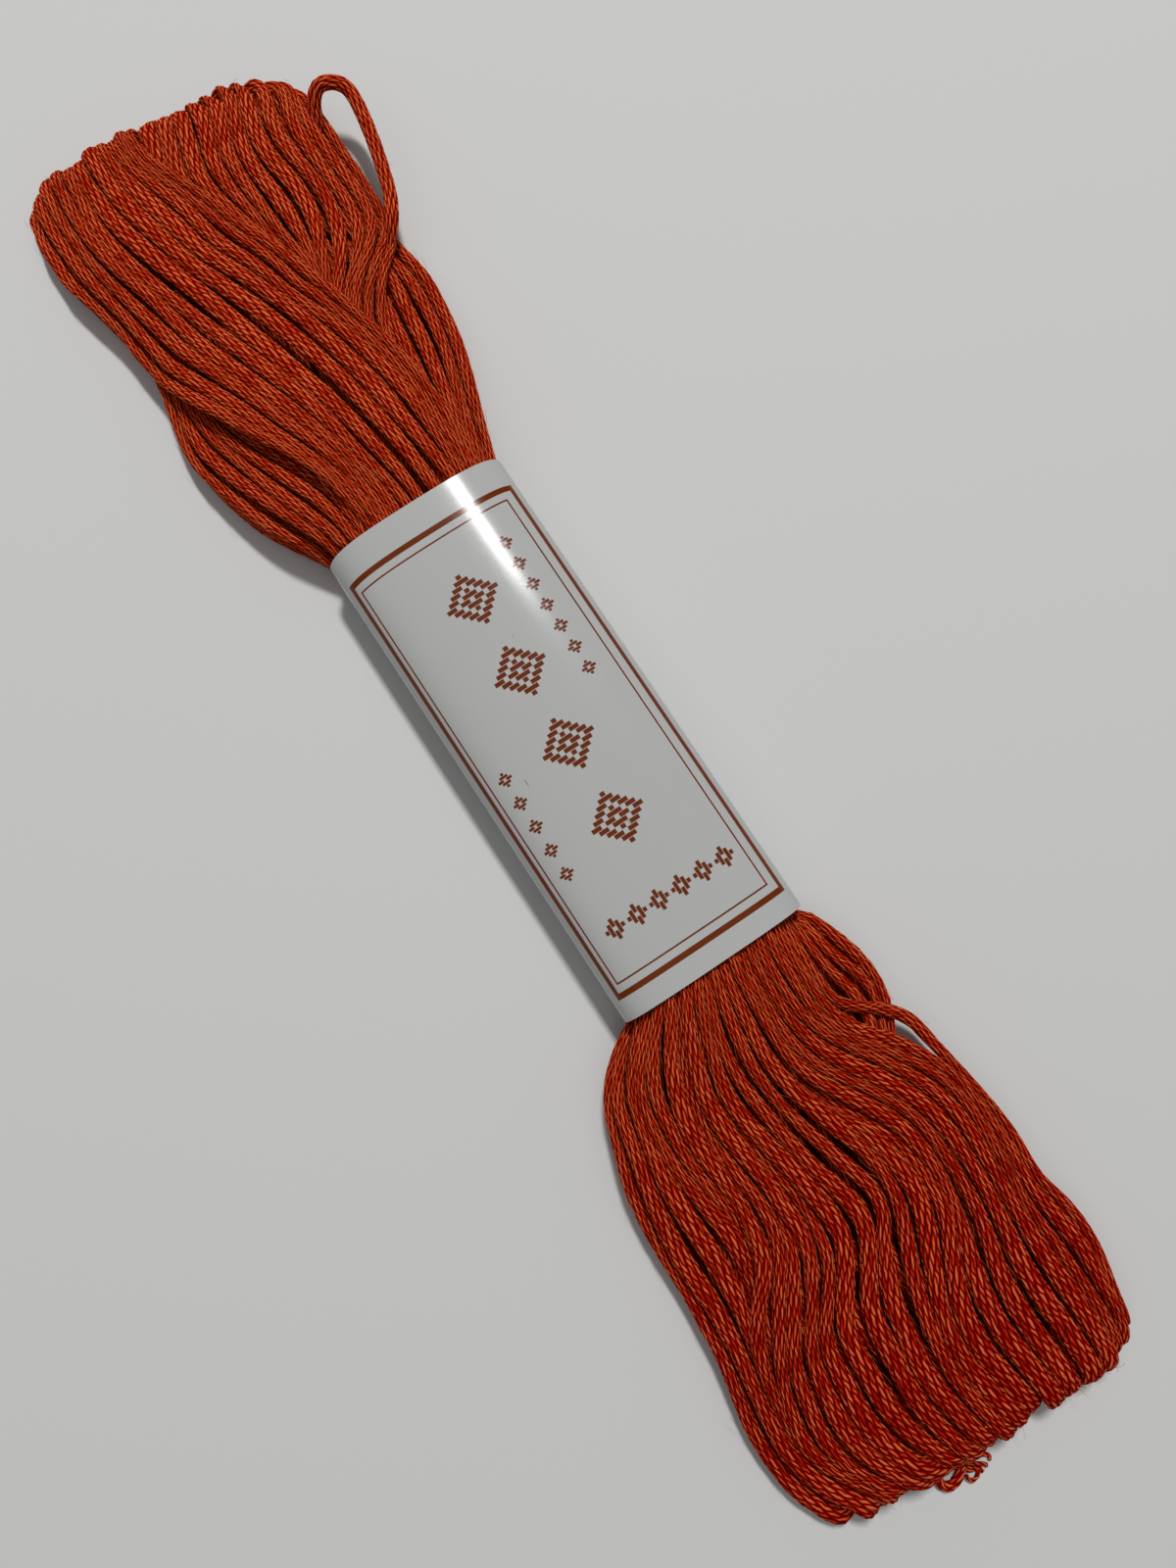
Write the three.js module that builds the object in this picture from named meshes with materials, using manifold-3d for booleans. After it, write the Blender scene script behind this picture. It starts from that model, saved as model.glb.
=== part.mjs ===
// A skein of kogin thread lying on a table: a hank of soft cotton thread, pinched at its waist by a
// paper band, with a flat fan of end loops at each side and one frayed thread end.
// Millimetres. X runs along the skein, Z is up, and the origin is under the middle of the band.
import * as THREE from "three";
import { mergeVertices } from "three/addons/utils/BufferGeometryUtils.js";
import Module from "manifold-3d";

const wasm = await Module();
wasm.setup();

// Driving dimensions
const THREAD = 1.15;
const RIDGE_DEPTH = 0.38;
const GROUP_DEPTH = 0.8;
const GROUP_STRANDS = 5;
const BAND_LENGTH = 52;
const BAND_WIDTH = 19.6;
const BAND_HEIGHT = 9.4;
const BAND_WALL = 1;
const BAND_FLAT = 10;
const GAP = 0.35;
const NOSE = 3.2;
const NOSE_STEPS = 3;
const STATION_STEP = 5;
const NOSE_MOST = 0.2;
const SIDE_POWER = 6;
const FLOOR_SPREAD = 1.3;

// The band's section: where it is widest, as a share of its height, and how full its curves are
const BAND_WAIST = 0.46;
const FOOT_REACH = 0.84;
const FOOT_RISE = 0.42;
const CREST_REACH = 0.66;
const CREST_DROP = 0.3;
const BAND_SEGMENTS = 7;

// How far the loops of each fan reach, across the fan from its left edge to its right edge
const LOOP_ENDS_A = { left: -75.4, outer_left: -78, middle: -77, outer_right: -75, right: -71 };
const LOOP_ENDS_B = { left: 72.4, outer_left: 74.2, middle: 75.2, outer_right: 75.6, right: 73.6 };

// Where the crossing set and the set beside it part, as a share of the first fan's width
const FAN_SPLIT = 0.44;

// Where the upper sets end inside the waist
const FRONT_END = -20;
const RIGHT_END = -30;
const SHEET_END = 20;

// The lower layers, which carry the others: one row for each section, left and right edges, top
const BASE_ROWS = [
  { x: -76, left: -13.6, right: 13.2, low: 0, high: 4.8 },
  { x: -70, left: -15.4, right: 14.6, low: 0, high: 5.2 },
  { x: -61, left: -14.6, right: 14.4, low: 0, high: 5.4 },
  { x: -53, left: -14.2, right: 14.4, low: 0, high: 5.6 },
  { x: -46, left: -15.8, right: 15.3, low: 0, high: 5.8 },
  { x: -38, left: -15.4, right: 13.7, low: 0, high: 6.4 },
  { x: -32, left: -12.8, right: 11.5, low: 0, high: 7.4 },
  { x: -26, left: -9.3, right: 9.3, low: 0, high: 8.8 },
  { x: 0, left: -9.3, right: 9.3, low: 0, high: 8.8 },
  { x: 26, left: -9.3, right: 9.3, low: 0, high: 8.6 },
  { x: 30, left: -13.2, right: 11.6, low: 0, high: 7.4 },
  { x: 35, left: -16.6, right: 12.9, low: 0, high: 6.4 },
  { x: 42, left: -18.2, right: 12.6, low: 0, high: 5.6 },
  { x: 50, left: -18.6, right: 14, low: 0, high: 5.2 },
  { x: 60, left: -19.4, right: 14.6, low: 0, high: 5 },
  { x: 69, left: -20, right: 14.6, low: 0, high: 4.8 },
  { x: 75, left: -17.4, right: 12.6, low: 0, high: 4.4 },
];

// The set of threads that crosses over the others on the first fan
const FRONT_ROWS = [
  { x: -78, left: -14.2, right: -1.6, low: 1.6, high: 6 },
  { x: -73, left: -15.8, right: -2.6, low: 2, high: 6.6 },
  { x: -67, left: -16.5, right: -3.2, low: 2.6, high: 7 },
  { x: -60, left: -15.3, right: -0.4, low: 3.2, high: 7.4 },
  { x: -54, left: -13.6, right: 3, low: 3.6, high: 7.8 },
  { x: -48, left: -12.2, right: 5.7, low: 4, high: 8.2 },
  { x: -40, left: -9.3, right: 6.6, low: 4.4, high: 8.8 },
  { x: -32, left: -6, right: 7, low: 4.6, high: 9.2 },
  { x: -26, left: -4.6, right: 6.8, low: 4.6, high: 9 },
  { x: -20, left: -4.6, right: 6.6, low: 4.6, high: 8 },
];

// The set beside it, which dives under the crossing set
const RIGHT_ROWS = [
  { x: -77, left: -2.4, right: 13.2, low: 1.6, high: 5.8 },
  { x: -71, left: -3, right: 15.2, low: 2, high: 6.4 },
  { x: -64, left: -2.6, right: 15, low: 2.6, high: 6.8 },
  { x: -57, left: 0, right: 14.6, low: 3, high: 7 },
  { x: -51, left: 3, right: 13.4, low: 3.2, high: 6.9 },
  { x: -45, left: 4.6, right: 10.4, low: 3.4, high: 6.8 },
  { x: -38, left: 5, right: 8.6, low: 3.6, high: 7 },
  { x: -30, left: 4.6, right: 7.6, low: 4, high: 7.4 },
];

// The wavy sheet of threads on top of the second fan: its edges and five threads that lead its waves
const SHEET_LEADS = ["left", "lead1", "lead2", "lead3", "lead4", "lead5", "right"];
const SHEET_ROWS = [
  { x: 20, left: -8.2, lead1: -5.8, lead2: -2.6, lead3: 0, lead4: 2.6, lead5: 5.6, right: 8.2 },
  { x: 27, left: -9.6, lead1: -6.6, lead2: -2.4, lead3: 1, lead4: 4, lead5: 6.8, right: 9.4 },
  { x: 33, left: -14.6, lead1: -9.8, lead2: -5.2, lead3: -1.2, lead4: 2.6, lead5: 6.6, right: 10.4 },
  { x: 39, left: -16.9, lead1: -12, lead2: -6.9, lead3: -2.4, lead4: 2, lead5: 6.8, right: 11.4 },
  { x: 45, left: -17.9, lead1: -12.6, lead2: -7, lead3: -2.2, lead4: 2.6, lead5: 7.8, right: 12.8 },
  { x: 51, left: -18.4, lead1: -13, lead2: -7.4, lead3: -2.2, lead4: 3.4, lead5: 9, right: 14.2 },
  { x: 57, left: -18.8, lead1: -15.2, lead2: -10.2, lead3: -4.6, lead4: 1.4, lead5: 8.2, right: 14.4 },
  { x: 63, left: -19.8, lead1: -17, lead2: -13.2, lead3: -7.6, lead4: -1, lead5: 6.8, right: 14.6 },
  { x: 69, left: -20.2, lead1: -17, lead2: -13.2, lead3: -8, lead4: -1.6, lead5: 6, right: 14.8 },
  { x: 76, left: -17.4, lead1: -13.8, lead2: -10.6, lead3: -6.4, lead4: -1.2, lead5: 5.2, right: 12.8 },
];
const SHEET_HEIGHTS = [
  { x: 20, low: 4.4, high: 8 },
  { x: 27, low: 4.2, high: 9 },
  { x: 35, low: 3.6, high: 8.4 },
  { x: 45, low: 3, high: 7.6 },
  { x: 57, low: 2.6, high: 7.2 },
  { x: 67, low: 2.2, high: 6.8 },
  { x: 76, low: 1.6, high: 5.6 },
];

// Threads side by side on the top of each set
const BASE_STRANDS = 27;
const FRONT_STRANDS = 15;
const RIGHT_STRANDS = 13;
const SHEET_STRANDS = 26;

// Single threads that stand off the edges of the fans, from where they leave it to where they return
const STRAY_STEPS = 16;
const STRAY_SIDES = 8;
const STRAY_A = [
  [-67.6, 12.8, 4.6],
  [-70.2, 16.2, 5],
  [-70.4, 18.7, 5.2],
  [-67.6, 19.8, 5.2],
  [-63, 18.9, 5],
  [-58.2, 17.4, 4.4],
  [-54.6, 16, 3.8],
  [-52.4, 13.6, 3.4],
];
const STRAY_B = [
  [36.4, 9.8, 4.6],
  [39.6, 12.6, 4.6],
  [42.6, 14.9, 4.2],
  [45.8, 15.4, 3.8],
  [48.8, 14.4, 3.4],
  [51.6, 12.4, 3.2],
];

// The frayed end of the thread, lying on the table at the tip of the second fan
const END_SIDES = 8;
const END_STEPS = 10;
const END_ROUTE = [
  [73.9, -10.1, THREAD / 2],
  [76.6, -9.8, THREAD / 2],
  [78.1, -9, THREAD / 2],
  [77.9, -7.7, THREAD / 2],
  [77.1, -6.7, THREAD / 2],
];
const PLY = 0.42;
const PLY_SIDES = 4;
const PLY_STEPS = 5;
const PLY_ROOT = [77.3, -7, THREAD / 2];
const PLIES = [
  { bend: [77, -5.6, 0.5], end: [78.2, -4.6, PLY / 2] },
  { bend: [77.6, -5.2, 0.9], end: [79, -3.6, PLY / 2] },
  { bend: [78, -5.8, 0.7], end: [79.6, -5, PLY / 2] },
  { bend: [78.2, -6.4, 0.5], end: [79.3, -6.9, PLY / 2] },
  { bend: [76.9, -5.4, 1], end: [77.2, -3.8, PLY / 2] },
];

// A curve through the rows of a table: gives the columns' values at any x
function smoothTable(positions, rows) {
  const curve = new THREE.CubicInterpolant(positions, rows.flat(), rows[0].length);
  return (position) => [...curve.evaluate(position)];
}

// The same for rows with named columns
function namedTable(rows, columns) {
  return smoothTable(
    rows.map((row) => row.x),
    rows.map((row) => columns.map((column) => row[column])),
  );
}

// Evenly spread values across a fan: gives the value at a share from 0, left, to 1, right
function across(values) {
  const shares = values.map((_, i) => i / (values.length - 1));
  const at = smoothTable(shares, values.map((value) => [value]));
  return (share) => at(share)[0];
}

// A straight line of loop ends, used where a set of threads runs on under another
const levelEnd = (x) => () => x;

// The shares of a set's length at which it has a section: close together round its two noses
function stationShares(length) {
  const nose = Math.min(NOSE / length, NOSE_MOST);
  const turned = [...Array(NOSE_STEPS).keys()].map((k) => 1 - Math.cos((k / NOSE_STEPS) * (Math.PI / 2)));
  const bays = Math.max(2, Math.round((length * (1 - 2 * nose)) / STATION_STEP));
  const straight = [...Array(bays + 1).keys()].map((k) => nose + ((1 - 2 * nose) * k) / bays);
  return [
    ...turned.map((t) => t * nose),
    ...straight,
    ...turned.toReversed().map((t) => 1 - t * nose),
  ];
}

// A quarter-round from 0 at the end itself to 1 at a nose's length from it
function noseShare(distance) {
  const t = Math.min(1, distance / NOSE);
  return Math.sqrt(1 - (1 - t) ** 2);
}

// Rounds a set's top and underside together at its left and right edges
const sideShare = (share) => Math.sqrt(1 - Math.abs(2 * share - 1) ** SIDE_POWER);

// How deep a set's surface dips at its j-th column: between threads, and more between groups of them
function valleyDepth(j) {
  if (j % 2 === 1) return 0;
  return j % (2 * GROUP_STRANDS) === 0 ? GROUP_DEPTH : RIDGE_DEPTH;
}

// One set of threads as a closed ridged solid: its top and underside meet all round its outline
function threadSet({ strands, from, to, place, heights }) {
  const columns = [...Array(2 * strands + 1).keys()].map((j) => j / (2 * strands));
  const shares = stationShares(Math.abs(to(0.5) - from(0.5)));
  const top = [];
  const under = [];
  for (const along of shares) {
    const topRow = [];
    const underRow = [];
    columns.forEach((share, j) => {
      const valley = valleyDepth(j);
      const start = from(share);
      const finish = to(share);
      const x = start + (finish - start) * along;
      const toEnd = Math.min(Math.abs(x - start), Math.abs(finish - x));
      const inward = along < 0.5 ? Math.sign(finish - start) : Math.sign(start - finish);
      const pulledIn = x + inward * valley * (1 - noseShare(toEnd));
      const [low, high] = heights(x);
      const middle = (low + high) / 2;
      const round = sideShare(share) * noseShare(toEnd);
      const y = place(x, share);
      topRow.push([pulledIn, y, middle + (high - middle - valley) * round]);
      underRow.push([pulledIn, y, middle - (middle - low) * Math.min(1, FLOOR_SPREAD * round)]);
    });
    top.push(topRow);
    under.push(underRow);
  }
  return solidFrom([...gridTriangles(top, false), ...gridTriangles(under, true)]);
}

// The triangles of a grid of points, wound the other way where it is seen from below
function gridTriangles(grid, fromBelow) {
  const triangles = [];
  for (let i = 0; i + 1 < grid.length; i++) {
    for (let j = 0; j + 1 < grid[i].length; j++) {
      const [a, b, c, d] = [grid[i][j], grid[i][j + 1], grid[i + 1][j + 1], grid[i + 1][j]];
      triangles.push(...(fromBelow ? [[a, b, d], [b, c, d]] : [[a, d, b], [b, d, c]]));
    }
  }
  return triangles;
}

// A closed solid from loose triangles, turned right side out
function solidFrom(triangles) {
  const geometry = new THREE.BufferGeometry();
  geometry.setAttribute("position", new THREE.Float32BufferAttribute(triangles.flat(2), 3));
  return solidOf(geometry);
}

// A closed solid from any geometry whose faces meet edge to edge
function solidOf(geometry) {
  geometry.deleteAttribute("normal");
  geometry.deleteAttribute("uv");
  const merged = mergeVertices(geometry, 1e-3);
  const corners = merged.index.array;
  const kept = [];
  for (let i = 0; i < corners.length; i += 3) {
    const [a, b, c] = [corners[i], corners[i + 1], corners[i + 2]];
    if (a !== b && b !== c && c !== a) kept.push(a, b, c);
  }
  const meshOf = (order) =>
    new wasm.Mesh({
      numProp: 3,
      vertProperties: merged.attributes.position.array,
      triVerts: new Uint32Array(order),
    });
  const made = new wasm.Manifold(meshOf(kept));
  return made.volume() > 0 ? made : new wasm.Manifold(meshOf(kept.toReversed()));
}

// The geometry of a joined or cut solid
function geometryOf(solid) {
  const mesh = solid.getMesh();
  const geometry = new THREE.BufferGeometry();
  geometry.setAttribute("position", new THREE.BufferAttribute(mesh.vertProperties, 3));
  geometry.setIndex(new THREE.BufferAttribute(mesh.triVerts, 1));
  return geometry;
}

// A round thread along a route
function threadAlong(route, diameter, sides, steps) {
  const section = new THREE.Shape();
  section.absarc(0, 0, diameter / 2, 0, 2 * Math.PI);
  const extrudePath = new THREE.CatmullRomCurve3(route.map((p) => new THREE.Vector3(...p)));
  return solidOf(new THREE.ExtrudeGeometry(section, { steps, curveSegments: sides / 2, extrudePath }));
}

// The band's section: a flat foot, rounded sides and a domed face, drawn in by an inset
function bandOutline(inset, Kind) {
  const half = BAND_WIDTH / 2 - inset;
  const foot = inset;
  const crest = BAND_HEIGHT - inset;
  const waist = BAND_HEIGHT * BAND_WAIST;
  const flat = BAND_FLAT / 2;
  const heel = half * FOOT_REACH;
  const instep = foot + waist * FOOT_RISE;
  const shoulder = crest - waist * CREST_DROP;
  const dome = half * CREST_REACH;
  const outline = new Kind();
  outline.moveTo(-flat, foot);
  outline.lineTo(flat, foot);
  outline.bezierCurveTo(heel, foot, half, instep, half, waist);
  outline.bezierCurveTo(half, shoulder, dome, crest, 0, crest);
  outline.bezierCurveTo(-dome, crest, -half, shoulder, -half, waist);
  outline.bezierCurveTo(-half, instep, -heel, foot, -flat, foot);
  return outline;
}

// A section drawn in Y and Z, extruded along X and centred on the band
function alongSkein(shape, length, curveSegments) {
  const geometry = new THREE.ExtrudeGeometry(shape, { depth: length, bevelEnabled: false, curveSegments });
  geometry.applyMatrix4(
    new THREE.Matrix4().makeBasis(
      new THREE.Vector3(0, 1, 0),
      new THREE.Vector3(0, 0, 1),
      new THREE.Vector3(1, 0, 0),
    ),
  );
  geometry.translate(-length / 2, 0, 0);
  return geometry;
}

function makeBand() {
  const section = bandOutline(0, THREE.Shape);
  section.holes.push(bandOutline(BAND_WALL, THREE.Path));
  return geometryOf(solidOf(alongSkein(section, BAND_LENGTH, BAND_SEGMENTS)));
}

// What has to stay clear round the hank's waist: the band and a gap on all its sides
function bandRoom() {
  const reach = BAND_WIDTH;
  const room = new THREE.Shape();
  room.moveTo(-reach, -reach);
  room.lineTo(reach, -reach);
  room.lineTo(reach, reach);
  room.lineTo(-reach, reach);
  room.closePath();
  room.holes.push(bandOutline(BAND_WALL + GAP, THREE.Path));
  return solidOf(alongSkein(room, BAND_LENGTH + 2 * GAP, BAND_SEGMENTS));
}

// Sets that have a left and a right edge
function edgedSet(rows, strands, from, to) {
  const edges = namedTable(rows, ["left", "right"]);
  return threadSet({
    strands,
    from,
    to,
    place: (x, share) => THREE.MathUtils.lerp(...edges(x), share),
    heights: namedTable(rows, ["low", "high"]),
  });
}

// The part of a line of loop ends between two shares of the fan's width
const partOf = (line, first, last) => (share) => line(first + (last - first) * share);

function makeHank() {
  const endsA = across(Object.values(LOOP_ENDS_A));
  const endsB = across(Object.values(LOOP_ENDS_B));
  const tucked = THREAD;
  const base = edgedSet(
    BASE_ROWS,
    BASE_STRANDS,
    (share) => endsA(share) + tucked,
    (share) => endsB(share) - tucked,
  );
  const front = edgedSet(FRONT_ROWS, FRONT_STRANDS, partOf(endsA, 0, FAN_SPLIT), levelEnd(FRONT_END));
  const right = edgedSet(RIGHT_ROWS, RIGHT_STRANDS, partOf(endsA, FAN_SPLIT, 1), levelEnd(RIGHT_END));
  const leads = namedTable(SHEET_ROWS, SHEET_LEADS);
  const sheet = threadSet({
    strands: SHEET_STRANDS,
    from: endsB,
    to: levelEnd(SHEET_END),
    place: (x, share) => across(leads(x))(share),
    heights: namedTable(SHEET_HEIGHTS, ["low", "high"]),
  });
  const strays = [STRAY_A, STRAY_B].map((route) => threadAlong(route, THREAD, STRAY_SIDES, STRAY_STEPS));
  const joined = [front, right, sheet, ...strays].reduce((whole, piece) => whole.add(piece), base);
  return geometryOf(joined.subtract(bandRoom()));
}

function makeLooseEnd() {
  const stub = threadAlong(END_ROUTE, THREAD, END_SIDES, END_STEPS);
  const plies = PLIES.map(({ bend, end }) => threadAlong([PLY_ROOT, bend, end], PLY, PLY_SIDES, PLY_STEPS));
  return geometryOf(plies.reduce((whole, ply) => whole.add(ply), stub));
}

const group = new THREE.Group();

function addPart(name, geometry, material) {
  const mesh = new THREE.Mesh(geometry, new THREE.MeshStandardMaterial(material));
  mesh.name = name;
  group.add(mesh);
}

addPart("hank", makeHank(), { color: 0xb4431c, roughness: 0.9, metalness: 0 });
addPart("band", makeBand(), { color: 0xe8e6e2, roughness: 0.25, metalness: 0 });
addPart("loose_end", makeLooseEnd(), { color: 0xb4431c, roughness: 0.9, metalness: 0 });

export default group;
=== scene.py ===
"""A skein of kogin thread in its paper band: the thread's turns, the paper and their finishes."""
import math

import bpy
import numpy as np
from mathutils import Matrix, Vector


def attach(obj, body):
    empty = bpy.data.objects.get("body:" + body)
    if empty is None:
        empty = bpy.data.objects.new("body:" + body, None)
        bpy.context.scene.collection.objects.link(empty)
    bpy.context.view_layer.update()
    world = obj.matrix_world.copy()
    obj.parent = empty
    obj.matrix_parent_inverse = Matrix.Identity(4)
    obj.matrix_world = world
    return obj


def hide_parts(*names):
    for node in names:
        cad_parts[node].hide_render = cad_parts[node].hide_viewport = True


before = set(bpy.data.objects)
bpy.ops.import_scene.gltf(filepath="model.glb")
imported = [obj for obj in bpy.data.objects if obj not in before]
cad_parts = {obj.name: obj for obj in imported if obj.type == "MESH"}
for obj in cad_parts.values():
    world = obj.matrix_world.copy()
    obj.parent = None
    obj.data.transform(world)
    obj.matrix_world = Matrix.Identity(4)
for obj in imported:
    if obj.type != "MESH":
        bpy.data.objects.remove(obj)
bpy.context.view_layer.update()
rng = np.random.default_rng(18)

# Sizes in millimetres, in the part's own frame: X along the skein, Y across it, Z up
MM = 0.001
FLOOR_GAP = 0.005  # nothing of a thread lies lower than this

# The thread: round inside the band, and flattened where it lies loose, by how much room it has
THREAD_RADIUS = 0.56
OPEN_ROOM = 1.5  # the room of a thread that has no neighbour in sight
ROOM_SHARE, TIP_SHARE = 0.44, 0.03  # how much of its room half a thread fills, and more near the tips
SHARE_SWAY, SHARE_WAVE = 0.05, 12.0  # how that share varies along it
NARROWEST, WIDEST, TIP_WIDER, EDGE_WIDEST = 0.5, 0.97, 0.06, 0.66
LOOSENS_OVER = 8.0
TIP_FROM, TIP_OVER = 62.0, 8.0
LOOSE_SECTION = 0.45
FLATTEST = 0.43

# Its plies, and the slanting stripes of fibre on each ply: in relief, with painted highlight on their crests
# and painted shade between them
PLIES = 8
PLY_DEPTH = 0.16
PLY_POINTS = (0.0, 0.34, 0.66)
TWIST_PITCH = 18.0
TWIST_STARTS = 6.28  # a twist begins at any angle up to this
UV_SHIFT = 9.7  # how far the stripes shift along the thread with that angle
STRIPE_LENGTH = 0.9
STRIPE_LEAN = 1.7
STRIPE_DRIFT = 1.8
STRIPE_STRENGTH = (0.5, 0.65)  # what chance adds, and the least
STREAKS = 0.45
# The tone brings in the flank's orange over the painted shade red, then the painted highlight pale over both
FLANK_SHARE = (2.6, -0.4)  # how fast the flank's colour comes in with the tone, and from where
HIGHLIGHT_SHARE = (2.5, -1.27)

# The colours of the cotton, each between two shades: painted shade red for the grooves, the thread's own
# orange, and painted highlight pale for the crests; and the painted shade on the second fan, darker towards
# its tips: where it comes in, in metres, and how much it darkens the tone
PAINTED_SHADE_RED = ((0.10, 0.0004, 0.0002, 1), (0.13, 0.0006, 0.0002, 1))
FLANK_ORANGE = ((0.4, 0.0155, 0.0009, 1), (0.46, 0.0205, 0.0012, 1))
PAINTED_HIGHLIGHT_ORANGE = ((0.69, 0.132, 0.04, 1), (0.77, 0.158, 0.05, 1))
FIBRE_ORANGE = (0.6, 0.085, 0.024, 1)
# Painted shade: the second fan's colour is darkened and reddened towards its tips
SHADE_DEEPENS = (0.02, 0.062)
SHADE_TONE_DROP = 0.1
SHADED_FLANK_RED = (0.43, 0.0075, 0.0008, 1)

# The nap: how many fibres are tried along 100 rings of a thread, their size, and how they stand off
FIBRES_IN_100 = 40
FIBRE_LENGTH = (0.7, 2.2)
FIBRE_RADIUS = 0.016
FIBRE_LIFT = (0.1, 0.6)
FIBRE_SWING = 0.4
FIBRE_POINTS, FIBRE_SIDES, FIBRE_PITCH, FIBRE_STEP = 4, 3, 60.0, 0.5

# The paper band, and the shares of its height and half width that shape its section
BAND_MIDDLE = 0.8
BAND_HALF = 26.0
BAND_WIDTH = 19.95
BAND_ASIDE = 0.17
BAND_HEIGHT = 9.4
BAND_FLAT = 10.0
BAND_WAIST, BAND_SHOULDER = 0.5, 0.13
FOOT_REACH, FOOT_RISE, CROWN_REACH = 0.84, 0.42, 0.72
SECTION_POINTS = 24
PAPER = 0.16
PAPER_LAP = 6.0
LAP_LIFT, LAP_RAMP = 0.24, 2.0

# The paper and ink between two shades
PAPER_WHITE = ((0.412, 0.422, 0.422, 1), (0.437, 0.442, 0.437, 1))
INK_BROWN = ((0.12, 0.02, 0.001, 1), (0.145, 0.026, 0.002, 1))

# How the paper is printed, along the skein and across it from the crest, on the flat sheet
OUTER_FRAME = ((-21.8, -9.6), (24.4, 9.3))
INNER_FRAME = ((-20.7, -8.8), (23.3, 8.0))
FRAME_LINES = (0.58, 0.17)
# Lozenges: how far aside they lie, the first one, their spacing and number, and each one's stitch and rings
LOZENGE_COLUMNS = (
    (-0.2, -14.0, 8.2, 4, 0.5, 6),
    (5.4, -17.0, 2.4, 7, 0.3, 2),
    (-7.0, 2.0, 2.6, 5, 0.3, 2),
)
LOZENGE_ROW = (19.0, -6.0, 2.4, 6, 0.42, 2)
STITCH_HALF = 0.44

# The slices across the skein in which the threads are settled
SLICE_STEP = 1.5
SLICES = np.arange(-78.0, 78.1, SLICE_STEP)

# How close together a thread's rings are: where it shows, below, out of sight, in a loop and in the band,
# which hides it from a little past its edge
VISIBLE_STEP, BELOW_STEP, HIDDEN_STEP, LOOP_STEP, BAND_STEP = 0.55, 1.0, 1.8, 0.6, 2.5
BAND_HIDES = 2.0

# The numbers of threads: the sheet that lies on top of the waist and the second fan is the under-left,
# crossing and edge sets of the first fan, and the right set of the first fan dives below it
UNDER_LEFT, CROSSING, EDGE = 5, 11, 4
SHEET = UNDER_LEFT + CROSSING + EDGE
RIGHT = 12
TURNS = 58
CORE = TURNS - SHEET - RIGHT
LOWEST = CROSSING + RIGHT  # as many as the sheet and its rising threads
LOWER = TURNS - LOWEST

# From where on, and over which way, the threads take their places in each fan
FIRST_FAN, SECOND_FAN, FAN_FADE = 16.0, 14.0, 8.0

# The lower layers: how far they keep inside the outline, and their levels
CORE_INSET, CORE_LEVEL = 1.6, 0.45
LOWEST_INSET = 0.6
LAYER_RISE = 1.15

# The right set goes below the crossing set: how wide and how deep it dives there
DIVE_START, DIVE_WIDTH = 0.4, 1.4
DIVE_CLEAR, DIVE_MOST = 1.1, 3.0
SHOWN_DEPTH = 0.7  # a thread that lies deeper than this below the sheet doesn't show

# How firmly a thread keeps to its place, and how far it sways from it
FIRM, SLACK = 0.4, 0.03
FIRM_SWAY, SLACK_SWAY, LIFT_SWAY = 0.16, 0.3, 0.16
SWAY_WAVE, LIFT_WAVE = 9.0, 11.0

# How the threads are settled
ROUNDS = 140
LAST_ROUNDS, LAST_PULL = 0.75, 0.25
LIFT_PULL = 0.6
PUSH, MOST_PUSH = 0.34, 0.25
CLOSE_LOOSE, CLOSE_HELD = 0.94, 0.86
STRAIGHTENING = 0.03
WALL_CENTRE = 0.46 * BAND_HEIGHT
WALL_PAPERS, WALL_POINTS = 2.2, 60
WALL_GAP, WALL_OPENS, WALL_ENDS = 0.4, 2.0, 6.0
HELD_PAST = 0.5
SIDE_DROP, SIDE_ROUNDNESS, SIDE_MOST = 0.42, 6, 1.06

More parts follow.
